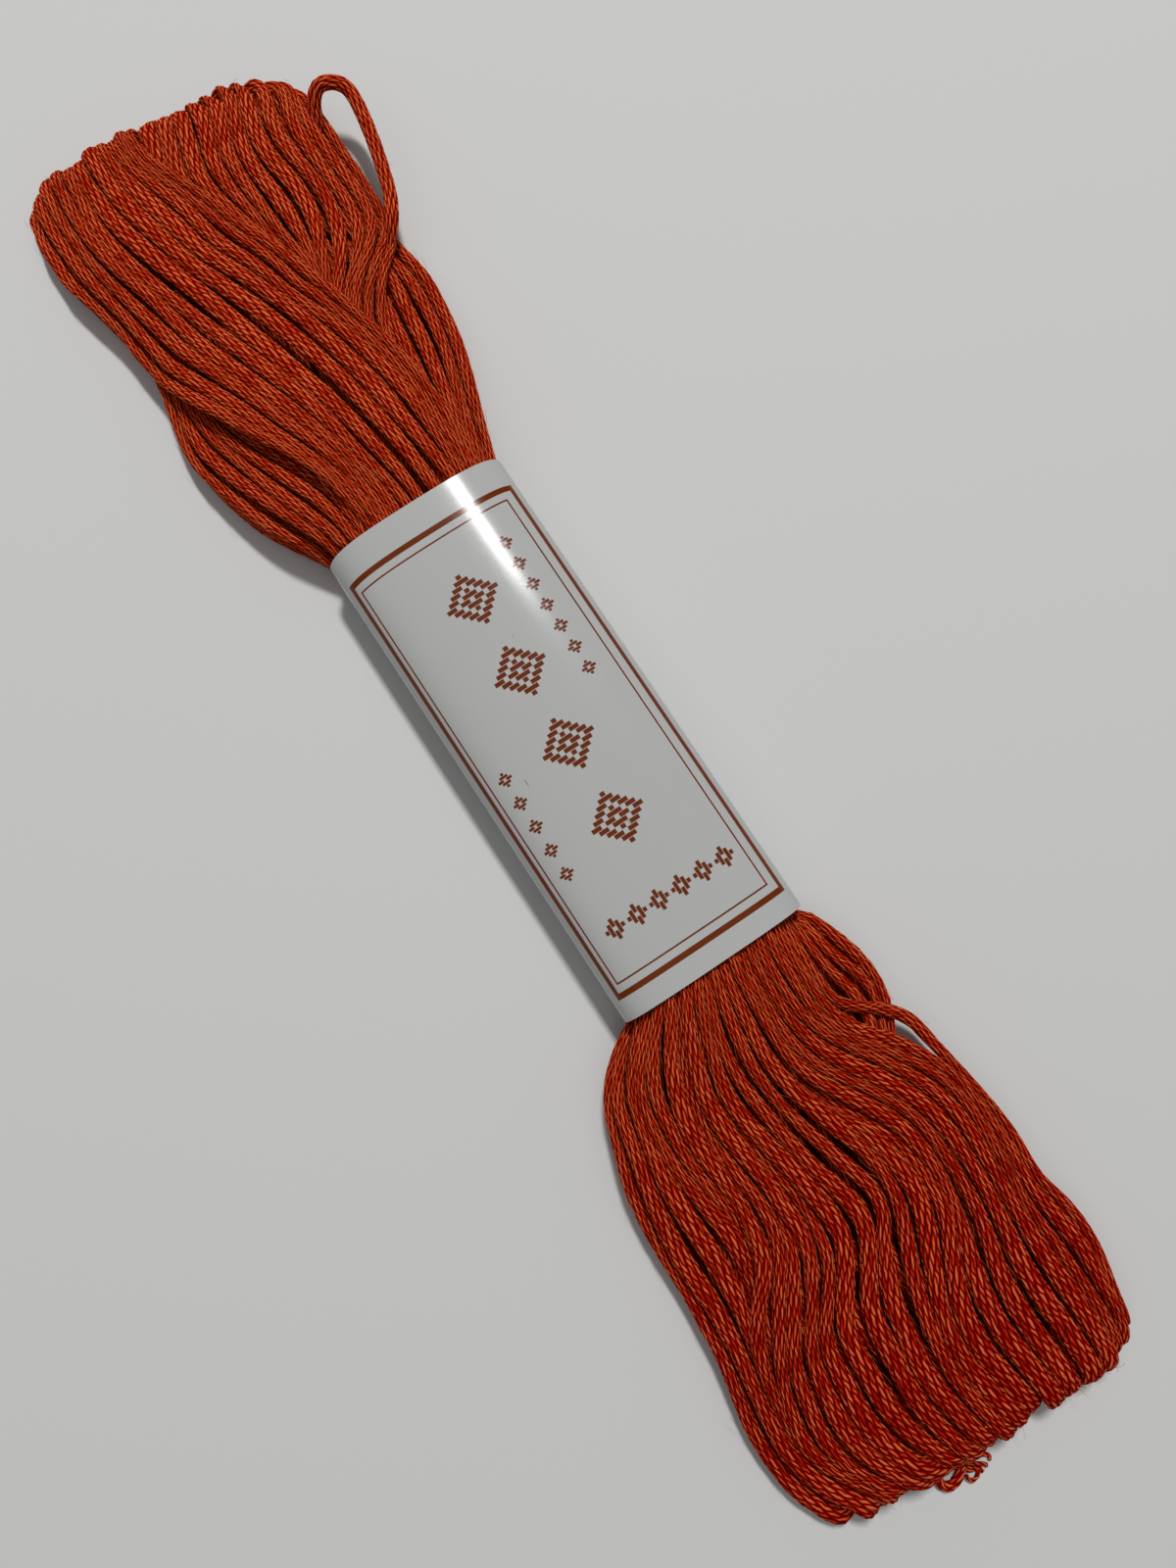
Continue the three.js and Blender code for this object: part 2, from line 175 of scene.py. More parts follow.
# The sheet on the second fan: where some of its threads lie, counted from the left edge, waist to tips
SHEET_THREADS = (0, 1, 3, 4, 5, 6, 7, 9, 11, 12, 13, 15, 17, 19, 21, 22)
SHEET_ROWS = {
    16: (-8.4, -7.5, -5.8, -5.0, -4.1, -3.3, -3.0, -2.0,
         -0.8, 0.2, 1.1, 1.6, 3.0, 5.0, 7.2, 8.2),
    26: (-9.2, -8.2, -6.4, -5.5, -4.6, -3.8, -3.4, -2.4,
         -1.2, -0.2, 0.8, 1.3, 2.6, 4.6, 6.7, 7.7),
    28: (-11.4, -10.2, -8.1, -7.1, -5.8, -4.8, -4.4, -3.4,
         -1.9, -0.8, 0.3, 0.8, 2.3, 4.3, 6.3, 7.3),
    32: (-15.2, -13.9, -11.6, -10.4, -8.5, -7.0, -6.5, -5.2,
         -3.2, -1.7, -0.3, 0.2, 2.0, 4.1, 6.3, 7.2),
    36: (-16.7, -15.3, -12.9, -11.6, -10.0, -8.4, -8.0, -6.8,
         -4.1, -2.3, -0.8, -0.2, 1.9, 4.5, 6.5, 7.6),
    40: (-17.9, -16.3, -13.2, -11.9, -10.4, -9.0, -8.6, -6.9,
         -4.0, -2.1, -0.3, 0.5, 2.9, 6.4, 8.4, 12.2),
    42: (-18.2, -16.6, -13.1, -11.8, -10.3, -8.9, -8.5, -6.6,
         -3.7, -1.7, 0.3, 1.5, 4.2, 7.8, 10.2, 13.4),
    44: (-18.4, -16.7, -12.8, -11.5, -10.2, -8.7, -8.3, -6.2,
         -3.4, -1.2, 1.0, 2.6, 5.6, 9.0, 11.6, 13.6),
    48: (-18.5, -16.8, -12.2, -11.0, -10.3, -8.5, -8.0, -5.9,
         -2.5, -0.1, 2.3, 4.8, 7.7, 10.9, 13.4, 14.3),
    52: (-18.5, -16.8, -12.8, -11.4, -11.4, -9.8, -8.4, -5.6,
         -1.6, 0.7, 2.6, 5.6, 8.2, 11.4, 13.6, 14.7),
    54: (-18.7, -17.1, -13.2, -11.4, -13.4, -11.3, -9.6, -5.9,
         -1.9, 0.0, 2.3, 5.5, 8.2, 11.3, 13.6, 14.8),
    56: (-18.8, -17.4, -14.0, -11.2, -14.9, -12.6, -10.9, -7.0,
         -3.1, -1.6, 1.4, 5.2, 8.2, 11.1, 13.5, 14.8),
    60: (-19.6, -18.1, -14.8, -11.6, -16.6, -15.0, -13.6, -10.2,
         -5.7, -3.4, -0.5, 3.4, 7.5, 10.8, 13.2, 14.4),
    64: (-20.4, -18.6, -15.0, -12.0, -17.3, -16.4, -14.8, -10.9,
         -6.2, -4.2, -1.9, 1.7, 6.3, 10.5, 14.0, 15.5),
    68: (-20.4, -18.4, -15.0, -12.0, -17.4, -16.8, -15.3, -11.2,
         -6.6, -4.5, -2.5, 1.0, 5.9, 10.6, 14.2, 15.6),
    72: (-19.6, -16.9, -13.2, -10.7, -15.5, -14.8, -14.1, -10.2,
         -6.1, -4.1, -2.1, 1.3, 6.1, 10.8, 13.6, 14.7),
    76: (-17.0, -14.0, -10.4, -8.6, -12.4, -11.7, -11.0, -8.2,
         -4.9, -3.3, -1.2, 2.0, 6.2, 10.6, 13.0, 14.0),
}

# Threads of that sheet that slip below it or come up from below: where this begins and ends, and how deep
# they lie before and after
SHEET_DIVES = {
    2: (55.0, 58.0, 0.0, 1.3),
    3: (49.0, 52.0, 0.0, 1.3),
    4: (44.5, 48.0, 0.0, 1.3),
    5: (60.5, 65.0, 0.0, 1.2),
    6: (40.5, 44.0, 1.2, 0.0),
    7: (48.5, 52.0, 1.3, 0.0),
    9: (50.5, 54.0, 1.3, 0.0),
    14: (43.5, 47.0, 1.2, 0.0),
    15: (51.5, 55.0, 1.3, 0.0),
}
RISING = (7, 9, 15)

# The grooves of the set that crosses the first fan, from the tips to the waist
CROSSING_GROOVES = (0, 2, 5, 7, 9, 11)
CROSSING_ROWS = {
    -77: (-16.4, -13.8, -9.8, -6.6, -4.4, -2.6),
    -72: (-17.0, -14.0, -9.9, -6.2, -3.6, -2.2),
    -68: (-17.1, -13.8, -9.8, -5.5, -2.1, -0.6),
    -64: (-16.4, -13.4, -9.0, -4.6, -1.2, 0.9),
    -60: (-15.4, -12.7, -7.8, -3.9, -0.4, 2.4),
    -56: (-14.6, -12.0, -6.5, -2.2, 1.5, 3.9),
    -52: (-13.7, -11.2, -5.3, -0.6, 2.6, 5.0),
    -48: (-12.5, -9.6, -4.2, 0.7, 4.1, 6.2),
    -44: (-10.9, -7.9, -3.3, 1.7, 5.4, 7.1),
    -40: (-9.3, -6.5, -2.0, 2.5, 6.4, 7.9),
    -36: (-7.1, -5.0, -1.0, 3.2, 6.9, 8.3),
    -32: (-5.4, -3.8, -0.3, 3.8, 6.9, 8.4),
    -28: (-4.7, -3.2, 0.3, 4.1, 6.8, 8.2),
    -16: (-5.2, -3.6, -0.2, 3.4, 5.8, 6.8),
}

# Threads of the right set, counted from the left; the last one strays off the side of the first fan
RIGHT_THREADS = (0, 2, 4, 6, 8, 10, 11)
RIGHT_ROWS = {
    -77: (-0.6, 3.3, 7.4, 10.6, 13.6, 15.1, 15.6),
    -72: (-1.6, 1.8, 5.9, 9.2, 12.9, 15.3, 16.0),
    -69: (-2.4, 0.8, 4.8, 8.3, 12.1, 15.4, 16.0),
    -66: (-1.8, 1.0, 4.5, 8.1, 12.0, 15.4, 16.0),
    -62: (-0.2, 2.2, 4.6, 8.7, 12.4, 15.3, 15.8),
    -58: (1.4, 3.3, 4.7, 8.5, 12.5, 15.2, 15.8),
    -55: (2.4, 4.2, 5.0, 7.6, 11.8, 14.8, 15.4),
    -52: (3.2, 4.6, 5.4, 6.3, 10.1, 12.8, 14.0),
    -49: (1.8, 3.2, 4.0, 4.8, 6.9, 9.8, 11.3),
    -46: (1.2, 2.6, 3.6, 4.4, 5.4, 7.6, 9.1),
    -42: (0.6, 2.0, 3.2, 4.4, 5.2, 6.5, 7.6),
    -36: (0.0, 2.0, 3.6, 5.0, 6.2, 7.0, 7.4),
    -28: (-5.0, -2.0, 0.0, 2.5, 4.6, 6.2, 7.0),
    -16: (-6.0, -3.5, -1.0, 1.5, 3.6, 5.4, 6.5),
    16: (-6.0, -3.5, -1.0, 1.5, 3.6, 5.4, 6.5),
    28: (-4.0, -1.0, 2.0, 5.0, 7.8, 9.6, 10.6),
    32: (-5.0, -2.0, 1.5, 5.0, 7.4, 9.9, 11.8),
    35: (-6.0, -3.0, 1.0, 5.0, 7.4, 11.2, 12.6),
    37: (-7.0, -3.5, 0.5, 5.0, 7.6, 11.8, 12.7),
    40: (-8.0, -4.0, 0.0, 4.5, 7.8, 11.0, 12.0),
    43: (-10.0, -6.0, -2.0, 3.5, 7.4, 9.2, 9.8),
    60: (-15.0, -10.0, -4.0, 2.0, 7.0, 10.5, 12.0),
    76: (-10.0, -6.0, -2.0, 2.0, 6.0, 9.0, 10.0),
}

# The outer edges of the two sets that lie below the others in the first fan
UNDER_LEFT_ROWS = {
    -76: (-12.5, -6.5),
    -68: (-14.0, -7.5),
    -60: (-14.0, -8.5),
    -53: (-13.9, -9.5),
    -48: (-15.0, -10.6),
    -44: (-15.9, -9.6),
    -40: (-15.2, -8.2),
    -36: (-14.2, -6.4),
    -32: (-12.8, -4.8),
    -28: (-10.5, -4.4),
    -16: (-8.8, -5.0),
}
EDGE_ROWS = {
    -74: (6.5, 11.0),
    -66: (7.5, 13.0),
    -58: (8.8, 14.0),
    -52: (9.0, 15.0),
    -48: (9.2, 15.8),
    -44: (8.4, 15.7),
    -40: (8.0, 15.0),
    -36: (7.2, 13.6),
    -32: (6.8, 12.0),
    -28: (6.4, 10.6),
    -16: (5.8, 8.6),
}

# The outline of the lower layers, and the heights of the crossing set and sheet, right set and under sets
OUTLINE_ROWS = {
    -76: (-14.6, 13.4),
    -70: (-15.8, 14.2),
    -61: (-14.6, 14.2),
    -53: (-13.4, 13.8),
    -46: (-15.0, 14.4),
    -38: (-14.2, 13.2),
    -32: (-12.2, 10.9),
    -26: (-8.6, 8.6),
    0: (-8.4, 8.4),
    27: (-8.6, 8.6),
    31: (-13.4, 11.0),
    35: (-15.8, 11.8),
    42: (-17.8, 10.2),
    46: (-18.0, 12.4),
    50: (-18.0, 13.6),
    60: (-19.2, 14.2),
    68: (-19.4, 14.8),
    76: (-16.4, 13.2),
}
TOP_ROWS = {
    -78: (5.6, 5.4, 3.6),
    -70: (6.2, 5.8, 4.0),
    -60: (6.8, 6.1, 4.2),
    -50: (7.4, 6.4, 5.0),
    -40: (8.2, 6.6, 6.2),
    -32: (8.8, 6.8, 7.3),
    -26: (8.8, 7.2, 7.8),
    0: (8.9, 7.4, 8.4),
    26: (8.8, 7.2, 8.6),
    35: (8.2, 6.6, 8.2),
    45: (7.4, 5.8, 7.4),
    57: (6.8, 5.4, 6.8),
    67: (6.2, 4.9, 6.2),
    76: (5.0, 3.8, 5.0),
}

# How far the loops reach, across each fan
TIPS_A = {-17.0: -76.0, -15.4: -77.3, -13.4: -77.8, -9.4: -77.8, -7.8: -77.5, -6.9: -78.4, -4.5: -78.0,
          -1.0: -77.5, 2.4: -76.3, 3.6: -75.9, 4.6: -76.7, 8.0: -75.9, 8.8: -75.5, 9.8: -75.8, 11.6: -75.1,
          12.8: -75.2, 14.0: -74.8, 15.0: -73.8, 15.8: -72.2}
TIPS_B = {-20.4: 75.0, -18.6: 75.7, -15.0: 75.8, -12.4: 75.7, -10.4: 76.7, -6.0: 76.6, -2.0: 76.6,
          1.0: 77.0, 3.0: 76.9, 4.6: 77.6, 6.0: 77.0, 9.0: 77.4, 10.4: 76.9, 12.6: 76.7, 14.0: 76.2,
          15.6: 75.0}
TIP_SLICES = (-73.0, 72.0)  # where a run's place across its fan is read for that
PAIR_SLICES = (-72.0, 71.0)  # and to pair it with the run that it loops to
TIP_UNEVEN = 0.28
LOOP_REACH = 2.6
LOOP_POINTS = 14
END_CLEAR = 0.4  # no slice this close to a run's end is part of its path
TURN_FLATTENS = np.array((0.28, -0.2))  # how much wider and thinner a soft thread gets in a loop
INNER_TUCK = 0.9

# The single loop that stands off the side of the first fan, from its tips to where it joins the right set
STRAY_LOOP = (
    (-68.4, 14.6, 3.0), (-69.6, 15.4, 4.4), (-70.1, 16.5, 5.2), (-69.5, 17.8, 5.5), (-68.3, 18.7, 5.5),
    (-66.4, 18.8, 5.4), (-62.8, 18.2, 5.2), (-59.2, 17.3, 5.0), (-56.0, 16.3, 5.0), (-53.5, 15.0, 5.2),
)
STRAY_RADIUS = 0.74
STRAY_LEAVES = -67.0
STRAY_JOINS = -51.6

# The frayed end that lies on the floor by the tips of the second fan: its bent stub and its parted plies
END_RADIUS = 0.48
END_PLIES, END_PITCH, END_STEP = 4, 4.0, 0.25
END_ROUTE = (
    (74.4, -7.4), (75.8, -7.5), (77.0, -8.0), (77.8, -8.6), (78.6, -8.7), (79.1, -8.1), (79.0, -7.2),
    (78.6, -6.6), (78.2, -6.0),
)
FRAY_RADIUS = 0.22
FRAY_PLIES, FRAY_PITCH, FRAY_STEP = 2, 1.6, 0.16
FRAYS = (
    ((78.3, -6.2, 0.40), (78.3, -5.3, 0.50), (78.4, -4.6, 0.42), (78.7, -3.8, 0.30), (79.1, -3.5, 0.24),
     (79.4, -3.7, 0.18)),
    ((78.4, -6.2, 0.30), (78.5, -5.3, 0.62), (78.9, -4.7, 0.70), (79.3, -4.3, 0.50), (79.6, -4.2, 0.30)),
    ((78.5, -6.4, 0.35), (78.8, -5.7, 0.26), (79.3, -5.2, 0.20), (79.8, -5.3, 0.28), (79.9, -6.0, 0.46),
     (79.5, -6.3, 0.60), (79.1, -6.3, 0.66)),
    ((78.3, -6.0, 0.45), (77.9, -5.2, 0.60), (77.8, -4.7, 0.72), (77.6, -4.2, 0.62)),
    ((78.6, -6.3, 0.25), (79.1, -5.9, 0.16), (79.4, -5.0, 0.16), (79.9, -4.8, 0.20)),
)

# The pieces that the sheet is parted into, by its threads from the left
SHEET_PARTS = (7, 13)

# The studio: the floor's tone, the light all round, and the lamps: place and size in metres, power, colour
FLOOR_TONE = (0.595, 0.603, 0.603, 1)
ROUND_LIGHT, ROUND_STRENGTH = (1.0, 0.96, 0.9, 1), 0.15
LAMPS = {
    "key_light": ((-0.407, 0.288, 0.904), (0.22, 0.084), 7.5, (1.0, 0.985, 0.965)),
    "fill_light": ((0.06, -0.06, 0.65), (0.9, 0.9), 0.95, (0.95, 0.97, 1.0)),
}

# The camera: its turn and tilt in degrees, its place, and its lens and sensor
CAMERA_TURN, CAMERA_TILT = 56.6, 7.0
CAMERA_PLACE = (17.2, -7.6, 112.9)
LENS, SENSOR = 25.9875, 36.0


def smooth_rows(rows, at):
    """The columns of a table at any place, on a smooth curve through its rows."""
    places = np.array(list(rows), float)
    values = np.array(list(rows.values()), float).reshape(len(places), -1)
    slopes = np.gradient(values, places, axis=0)
    at = np.clip(np.asarray(at, float), places[0], places[-1])
    i = np.clip(np.searchsorted(places, at, side="right") - 1, 0, len(places) - 2)
    width = (places[i + 1] - places[i])[:, None]
    t = ((at - places[i]) / width[:, 0])[:, None]
    a, b = values[i], values[i + 1]
    u, v = slopes[i] * width, slopes[i + 1] * width
    return a + t * u + t**2 * (3 * (b - a) - 2 * u - v) + t**3 * (2 * (a - b) + u + v)


def spread(rows, grooves, count, at):
    """Places for threads that lie side by side between the grooves of a table, one row for each slice."""
    middles = (np.arange(count) + 0.5) * grooves[-1] / count
    return np.stack([np.interp(middles, grooves, row) for row in smooth_rows(rows, at)])


def wander(count, size, wave):
    """A slow random sway of each thread along the skein."""
    knots = np.arange(SLICES[0], SLICES[-1] + wave, wave)
    sways = rng.normal(0, size, (len(knots), count))
    return smooth_rows(dict(zip(knots, sways)), SLICES)


def fade(x, start, over):
    """0 up to a place and 1 from some way past it, one row for each slice."""
    return np.clip((x - start) / over, 0, 1)[:, None]


def cubic(t, a, b, c, d):
    """Points on a curve from a to d that b and c lead."""
    return (1 - t) ** 3 * a + 3 * (1 - t) ** 2 * t * b + 3 * (1 - t) * t**2 * c + t**3 * d


def unit(vector):
    """The same direction with a length of 1."""
    return vector / np.linalg.norm(vector, axis=-1, keepdims=True)


def round_path(route, radius):
    """A route's points with the same half width and height at each."""
    return np.array([(*place, radius, radius) for place in route])


def band_section(inset, points):
    """The band's section as points in Y and Z, counter-clockwise from the left end of its foot."""
    half = BAND_WIDTH / 2 - inset
    crest = BAND_HEIGHT - inset
    waist = BAND_HEIGHT * BAND_WAIST
    flat = BAND_FLAT / 2
    shoulder = crest - waist * BAND_SHOULDER
    rise = inset + waist * FOOT_RISE
    foot, crown = half * FOOT_REACH, half * CROWN_REACH
    corners = [
        ((-flat, inset), (-flat / 3, inset), (flat / 3, inset), (flat, inset)),
        ((flat, inset), (foot, inset), (half, rise), (half, waist)),
        ((half, waist), (half, shoulder), (crown, crest), (0, crest)),
        ((0, crest), (-crown, crest), (-half, shoulder), (-half, waist)),
        ((-half, waist), (-half, rise), (-foot, inset), (-flat, inset)),
    ]
    t = np.linspace(0, 1, points, endpoint=False)[:, None]
    return (BAND_ASIDE, 0) + np.concatenate([cubic(t, *np.array(corner)) for corner in corners])


def lay_sheet(x):
    """Where the threads of the second fan's sheet lie in each slice, and how far below its top."""
    count = SHEET + len(RISING)
    y = np.stack([np.interp(np.arange(count), SHEET_THREADS, row) for row in smooth_rows(SHEET_ROWS, x)])
    depth = np.zeros_like(y)
    for number, (first, last, before, after) in SHEET_DIVES.items():
        part = np.clip((x - first) / (last - first), 0, 1)
        depth[:, number] = before + (after - before) * part * part * (3 - 2 * part)
    return y, depth


def lay_level(left, right, inset, count):
    """Places for a layer of threads, evenly across the outline."""
    return left + inset + (right - left - 2 * inset) * np.linspace(0, 1, count)[None, :]


def lay_sets():
    """Where each run of thread is meant to lie in each slice, set by set, and how firmly it keeps there."""
    x = SLICES
    top, right_top, under_top = np.hsplit(smooth_rows(TOP_ROWS, x), 3)
    left, right = np.hsplit(smooth_rows(OUTLINE_ROWS, x), 2)
    at_first = fade(-x, FIRST_FAN, FAN_FADE)
    at_second = fade(x, SECOND_FAN, FAN_FADE)
    first = np.hstack([
        spread(UNDER_LEFT_ROWS, (0, 1), UNDER_LEFT, x),
        spread(CROSSING_ROWS, CROSSING_GROOVES, CROSSING, x),
        spread(EDGE_ROWS, (0, 1), EDGE, x),
    ])
    second, second_depth = lay_sheet(x)
    rising = len(RISING)
    on_top = [number for number in range(SHEET + rising) if number not in RISING]
    sheet_y = first * at_first + second[:, on_top] * (1 - at_first)
    numbers = np.arange(SHEET)
    crosses = (numbers >= UNDER_LEFT) & (numbers < UNDER_LEFT + CROSSING)
    sheet_z = np.where(crosses[None, :], top, under_top * at_first + top * (1 - at_first)) - THREAD_RADIUS
    sheet_depth = second_depth[:, on_top] * at_second
    right_rows = smooth_rows(RIGHT_ROWS, x)
    right_y = np.stack([np.interp(np.arange(RIGHT), RIGHT_THREADS, row) for row in right_rows])
    over = smooth_rows(CROSSING_ROWS, x)[:, -1:]
    hidden = np.clip((over + DIVE_START - right_y) / DIVE_WIDTH, 0, 1)
    right_z = right_top - THREAD_RADIUS - hidden * np.clip(right_top + DIVE_CLEAR - top, 0, DIVE_MOST)
    core_y = lay_level(left, right, CORE_INSET, CORE)
    core_z = CORE_LEVEL * under_top + 0 * core_y
    core_y[:, :rising] += (second[:, RISING] - core_y[:, :rising]) * at_second
    rising_z = top - THREAD_RADIUS - second_depth[:, RISING]
    core_z[:, :rising] += (rising_z - core_z[:, :rising]) * at_second
    lowest_y = lay_level(left, right, LOWEST_INSET, LOWEST)
    lowest_z = THREAD_RADIUS + 0 * lowest_y
    lower_y = lay_level(left, right, 0.0, LOWER)
    lower_z = THREAD_RADIUS + LAYER_RISE + 0 * lower_y
    y = np.hstack([sheet_y, right_y, core_y, lowest_y, lower_y])
    z = np.hstack([sheet_z - sheet_depth, right_z, core_z, lowest_z, lower_z])
    count = y.shape[1]
    firm = np.where(np.arange(count) < SHEET + RIGHT, FIRM, SLACK) + 0 * y
    firm[:, SHEET + RIGHT:SHEET + RIGHT + rising] += (FIRM - SLACK) * at_second
    sway = np.where(firm > FIRM / 2, FIRM_SWAY, SLACK_SWAY)
    y = y + wander(count, 1.0, SWAY_WAVE) * sway
    z = z + wander(count, 1.0, LIFT_WAVE) * LIFT_SWAY
    showing = np.ones((len(x), SHEET + RIGHT + rising), bool)
    showing[:, :SHEET] = sheet_depth < SHOWN_DEPTH
    showing[:, SHEET + RIGHT:] = second_depth[:, RISING] < SHOWN_DEPTH
    return y, z, firm, showing


def thread_halves(y, showing):
    """Half widths and heights: a soft thread lies flat where it has room and is round inside the band."""
    rooms = np.full_like(y, OPEN_ROOM)
    sheet = np.arange(SHEET)
    right = np.arange(SHEET, SHEET + RIGHT)
    rising = np.arange(SHEET + RIGHT, showing.shape[1])
    first_sets = np.split(sheet, [UNDER_LEFT, UNDER_LEFT + CROSSING]) + [right]
    second_sets = [np.concatenate([sheet, rising]), right]
    for i, x in enumerate(SLICES):
        for members in first_sets if x < 0 else second_sets:
            seen = members[showing[i, members]]
            seen = seen[np.argsort(y[i, seen])]
            rooms[i, seen] = np.gradient(y[i, seen])
    slant = 1 / np.sqrt(1 + np.gradient(y, SLICE_STEP, axis=0) ** 2)
    loose = fade(np.abs(SLICES - BAND_MIDDLE), BAND_HALF, LOOSENS_OVER)
    near_tip = fade(np.abs(SLICES), TIP_FROM, TIP_OVER)
    share = ROOM_SHARE + TIP_SHARE * near_tip + wander(y.shape[1], SHARE_SWAY, SHARE_WAVE)
    wide = np.clip(share * rooms * slant, NARROWEST, WIDEST + TIP_WIDER * near_tip)
    wide[:, SHEET - 1] = np.minimum(wide[:, SHEET - 1], EDGE_WIDEST)
    wide = THREAD_RADIUS + (wide - THREAD_RADIUS) * loose
    for _ in range(3):
        wide[1:-1] = (wide[:-2] + 2 * wide[1:-1] + wide[2:]) / 4
    return wide, np.clip(LOOSE_SECTION / wide, FLATTEST, THREAD_RADIUS)


def edge_drop(y, z):
    """Lowers what lies near the outline of the lower layers, so that each fan has rounded sides."""
    left, right = np.hsplit(smooth_rows(OUTLINE_ROWS, SLICES), 2)
    share = np.clip(np.abs(2 * (y - left) / (right - left) - 1), 0, SIDE_MOST)
    return z * (1 - SIDE_DROP * share**SIDE_ROUNDNESS)


def run_ends(y):
    """Where along the skein each run's straight part ends at either side."""
    def reach(tips, places):
        along = np.interp(places, list(tips), list(tips.values()))
        return along + rng.normal(0, TIP_UNEVEN, len(places))
    first, second = y[np.searchsorted(SLICES, TIP_SLICES)]
    tips_a = reach(TIPS_A, first)
    tips_b = reach(TIPS_B, second)
    number = np.arange(len(first))
    crosses = (number >= UNDER_LEFT) & (number < UNDER_LEFT + CROSSING)
    beside = (number >= SHEET) & (number < SHEET + RIGHT)
    lowest = (number >= SHEET + RIGHT + CORE) & (number < SHEET + RIGHT + CORE + LOWEST)
    outer_a = crosses | beside | lowest
    outer_b = (number < SHEET) | lowest
    tips_a = tips_a + np.where(outer_a, 0, INNER_TUCK)
    tips_b = tips_b - np.where(outer_b, 0, INNER_TUCK)
    starts = tips_a + LOOP_REACH
    starts[SHEET + RIGHT - 1] = STRAY_JOINS
    return starts, tips_b - LOOP_REACH


def band_wall():
    """How far the inside of the band is from its centre, by the angle."""
    section = band_section(PAPER * WALL_PAPERS + THREAD_RADIUS * CLOSE_LOOSE, WALL_POINTS)
    angles = np.arctan2(section[:, 1] - WALL_CENTRE, section[:, 0])
    order = np.argsort(angles)
    return angles[order], np.hypot(section[:, 0], section[:, 1] - WALL_CENTRE)[order]


def settle(y, z, firm, showing, starts, ends):
    """Moves the runs apart, slice by slice, until they lie beside and on each other."""
    aim_y, aim_z = y.copy(), edge_drop(y, z)
    y, z = aim_y.copy(), aim_z.copy()
    wide, high = thread_halves(aim_y, showing)
    present = (SLICES[:, None] >= starts - SLICE_STEP) & (SLICES[:, None] <= ends + SLICE_STEP)
    wall_angle, wall_reach = band_wall()
    beyond = np.clip(np.abs(SLICES - BAND_MIDDLE) - BAND_HALF - WALL_GAP, 0, None)[:, None]
    apart = ~np.eye(y.shape[1], dtype=bool)[None] & present[:, :, None] & present[:, None, :]
    close = np.where(beyond > HELD_PAST, CLOSE_LOOSE, CLOSE_HELD)[:, :, None]
    both_wide = (wide[:, :, None] + wide[:, None, :]) * close
    both_high = (high[:, :, None] + high[:, None, :]) * close
    left, right = np.hsplit(smooth_rows(OUTLINE_ROWS, SLICES), 2)
    inner = slice(SHEET + RIGHT + len(RISING), None)
    for k in range(ROUNDS):
        pull = firm * (1 if k < ROUNDS * LAST_ROUNDS else LAST_PULL)
        y += pull * (aim_y - y)
        z += pull * LIFT_PULL * (aim_z - z)
        dy = y[:, :, None] - y[:, None, :]
        dz = z[:, :, None] - z[:, None, :]
        gap = np.sqrt((dy / both_wide) ** 2 + (dz / both_high) ** 2) + 1e-6
        push = np.where(apart & (gap < 1), (1 - gap) / gap, 0) * PUSH
        y += np.clip((push * dy).sum(2), -MOST_PUSH, MOST_PUSH)
        z += np.clip((push * dz).sum(2), -MOST_PUSH, MOST_PUSH)
        z = np.maximum(z, high)
        angle = np.arctan2(z - WALL_CENTRE, y)
        most = np.interp(angle, wall_angle, wall_reach, period=2 * math.pi) + WALL_OPENS * beyond
        far = np.hypot(y, z - WALL_CENTRE)
        keep = np.where(beyond < WALL_ENDS, np.minimum(1, most / np.maximum(far, 1e-6)), 1)
        y = y * keep
        z = np.maximum(WALL_CENTRE + (z - WALL_CENTRE) * keep, high)
        y[:, inner] = np.clip(y[:, inner], left, right)
        for values in (y, z):
            bend = values[:-2] + values[2:] - 2 * values[1:-1]
            inside = present[:-2] & present[2:] & present[1:-1]
            values[1:-1] += np.where(inside, STRAIGHTENING * bend, 0)
    return np.stack([y, z, wide, high], axis=-1)


def end_way(points):
    """The direction in which a run leaves its last point."""
    return unit(points[-1, :3] - points[-3, :3])


def loop_over(run, mate):
    """The turn of a loop at a tip: a curve from one run's end round to the end of its mate."""
    end, mate_end = run[-1, :3], mate[-1, :3]
    handle = LOOP_REACH / 0.75  # such a curve reaches three quarters as far as its handles
    t = np.linspace(0, 1, LOOP_POINTS)[1:-1, None]
    way = cubic(t, end, end + handle * end_way(run), mate_end + handle * end_way(mate), mate_end)
    section = (1 - t) * run[-1, 3:] + t * mate[-1, 3:]
    return np.hstack([way, section * (1 + np.sin(math.pi * t) * TURN_FLATTENS)])


def run_points(lie, run, first, last):
    """A run's places, half widths and half heights from one place along the skein to another."""
    low, high = min(first, last), max(first, last)
    inside = SLICES[(SLICES > low + END_CLEAR) & (SLICES < high - END_CLEAR)]
    places = np.concatenate([[low], inside, [high]])
    if last < first:
        places = places[::-1]
    return np.stack([places] + [np.interp(places, SLICES, column) for column in lie[:, run].T], axis=1)


def mates(tops, bottoms, row_y, at):
    """Pairs the runs of two sets in their order across the skein."""
    s = int(np.searchsorted(SLICES, at))
    ordered_tops = sorted(tops, key=lambda i: row_y[s, i])
    ordered_bottoms = sorted(bottoms, key=lambda i: row_y[s, i])
    return dict(zip(ordered_tops, ordered_bottoms))


